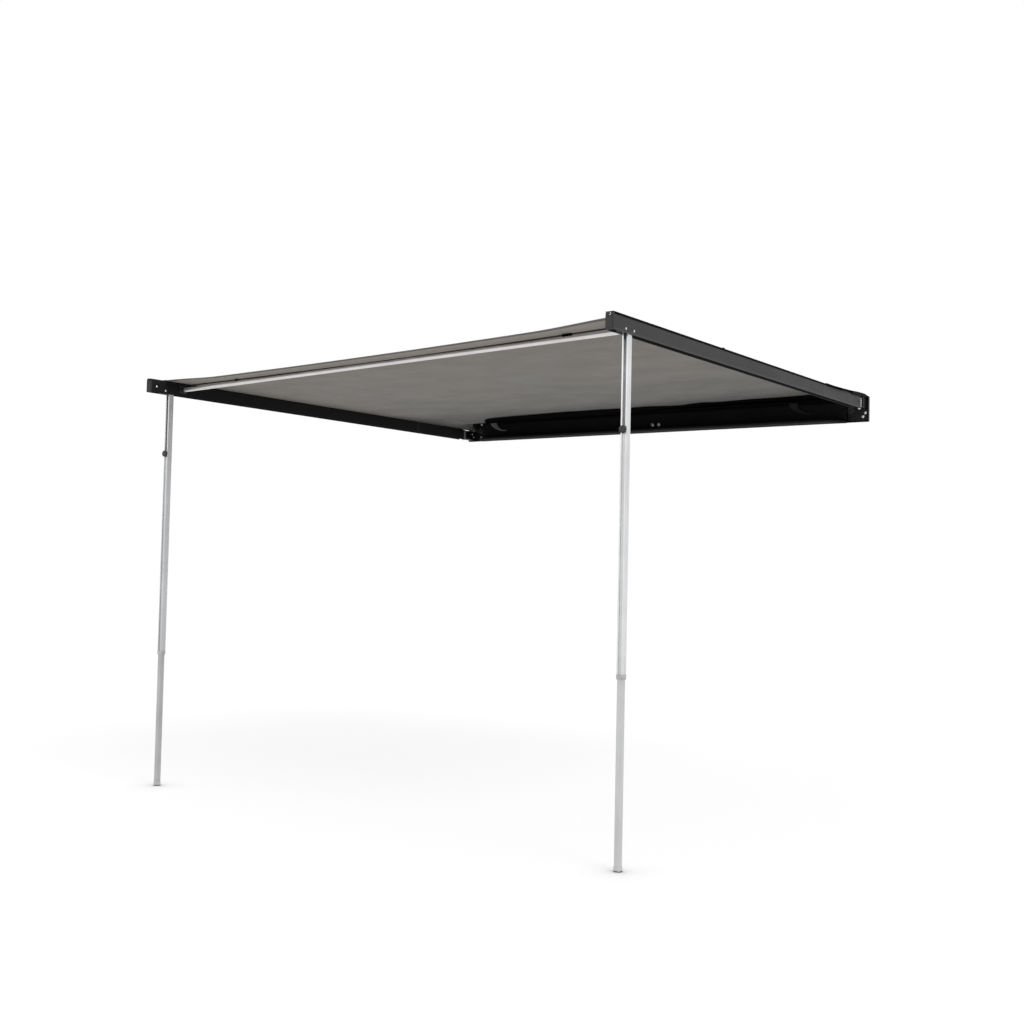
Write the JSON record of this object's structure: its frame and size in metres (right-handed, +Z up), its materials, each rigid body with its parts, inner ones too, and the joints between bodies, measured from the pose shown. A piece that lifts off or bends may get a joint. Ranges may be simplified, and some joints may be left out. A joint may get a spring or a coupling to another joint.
{
  "type": "vehicle side awning",
  "caption": "Vehicle side awning: a mounting rail with swing-out arms, folding telescopic legs, a spreader tube, a stretched canopy and an open storage bag.",
  "frame": {"origin": "middle of the flat rear face of the back rail, where it lies on the roof rack", "axes": "+X along the rail and the vehicle, -Y out over the shade to the arm tips, +Z up"},
  "size_m": [2.5526, 2.486, 1.9642],
  "materials": {
    "rail_coat": "black powder coat, fine texture",
    "arm_coat": "charcoal powder coat, satin",
    "black_steel": "black e-coated steel",
    "zinc_fittings": "bright zinc plate",
    "saddle_steel": "dull zinc plate",
    "leg_aluminium": "extruded, clear anodised, faint draw lines",
    "black_plastic": "moulded, fine grain",
    "knob_plastic": "moulded, satin",
    "rubber": "moulded rubber",
    "bag_cloth": "coated polyester, soft creases",
    "canopy_cloth": "grey ripstop polycotton, plain weave"
  },
  "bodies": {
    "rail": {"back_rail": "rail_coat", "rail_end_cap_left": "black_plastic", "rail_end_cap_right": "black_plastic", "rail_bolt_left": "zinc_fittings", "rail_bolt_right": "zinc_fittings", "canopy_bead_rod": "black_plastic", "canopy": "canopy_cloth", "bag_body": "bag_cloth", "bag_top_flap": "bag_cloth", "right_hinge_bracket": "black_steel", "right_bracket_bolt_upper": "zinc_fittings", "right_bracket_bolt_lower": "zinc_fittings", "right_arm_buffer": "rubber", "right_hinge_pin": "zinc_fittings", "right_hinge_nut": "zinc_fittings", "left_hinge_bracket": "black_steel", "left_bracket_bolt_upper": "zinc_fittings", "left_bracket_bolt_lower": "zinc_fittings", "left_arm_buffer": "rubber", "left_hinge_pin": "zinc_fittings", "left_hinge_nut": "zinc_fittings"},
    "right_arm": {"right_arm_channel": "arm_coat", "right_arm_front_cap": "black_plastic", "right_rear_knuckle": "arm_coat", "right_knuckle_screw": "zinc_fittings", "right_leg_saddle": "saddle_steel", "right_saddle_rivet_front": "zinc_fittings", "right_saddle_rivet_rear": "zinc_fittings", "right_leg_pivot_pin": "zinc_fittings", "right_spreader_socket": "black_plastic"},
    "right_leg": {"right_outer_leg": "leg_aluminium", "right_leg_head": "black_plastic", "right_leg_collar": "black_plastic"},
    "right_lower_leg": {"right_inner_leg": "leg_aluminium", "right_clamp_shoe": "saddle_steel", "right_foot": "rubber"},
    "right_knob": {"right_clamp_knob": "knob_plastic"},
    "left_arm": {"left_arm_channel": "arm_coat", "left_arm_front_cap": "black_plastic", "left_rear_knuckle": "arm_coat", "left_knuckle_screw": "zinc_fittings", "left_leg_saddle": "saddle_steel", "left_saddle_rivet_front": "zinc_fittings", "left_saddle_rivet_rear": "zinc_fittings", "left_leg_pivot_pin": "zinc_fittings", "left_spreader_socket": "black_plastic"},
    "left_leg": {"left_outer_leg": "leg_aluminium", "left_leg_head": "black_plastic", "left_leg_collar": "black_plastic"},
    "left_lower_leg": {"left_inner_leg": "leg_aluminium", "left_clamp_shoe": "saddle_steel", "left_foot": "rubber"},
    "left_knob": {"left_clamp_knob": "knob_plastic"},
    "spreader": {"spreader_tube": "leg_aluminium", "spreader_plug_left": "black_plastic", "spreader_plug_right": "black_plastic"}
  },
  "joints": [
    {"name": "right_arm_swing", "type": "hinge", "parent": "rail", "child": "right_arm", "pos_m": [1.243, -0.06, 0.028], "axis": [0, 0, -1], "range_deg": [0, 90], "deforming": ["canopy", "bag_body", "bag_top_flap", "spreader_tube", "spreader_plug_left", "spreader_plug_right"]},
    {"name": "left_arm_swing", "type": "hinge", "parent": "rail", "child": "left_arm", "pos_m": [-1.243, -0.11, -0.031], "axis": [0, 0, 1], "range_deg": [0, 90], "deforming": ["canopy", "bag_body", "bag_top_flap", "spreader_tube", "spreader_plug_left", "spreader_plug_right"]},
    {"name": "right_leg_fold", "type": "hinge", "parent": "right_arm", "child": "right_leg", "pos_m": [1.243, -2.359, 0.029], "axis": [1, 0, 0], "range_deg": [0, 90]},
    {"name": "left_leg_fold", "type": "hinge", "parent": "left_arm", "child": "left_leg", "pos_m": [-1.243, -2.359, -0.03], "axis": [1, 0, 0], "range_deg": [0, 90]},
    {"name": "right_leg_extend", "type": "slide", "parent": "right_leg", "child": "right_lower_leg", "axis": [0, 0, 1], "range_m": [-0.25, 0.29]},
    {"name": "left_leg_extend", "type": "slide", "parent": "left_leg", "child": "left_lower_leg", "axis": [0, 0, 1], "range_m": [-0.25, 0.23]},
    {"name": "right_knob_turn", "type": "hinge", "parent": "right_lower_leg", "child": "right_knob", "pos_m": [1.243, -2.359, -0.34], "axis": [0, 1, 0], "continuous": true},
    {"name": "left_knob_turn", "type": "hinge", "parent": "left_lower_leg", "child": "left_knob", "pos_m": [-1.243, -2.359, -0.34], "axis": [0, 1, 0], "continuous": true},
    {"name": "canopy_retract", "type": "slide", "parent": "rail", "child": "spreader", "axis": [0, 1, 0], "range_m": [0, 2.13], "deforming": ["canopy"]}
  ]
}
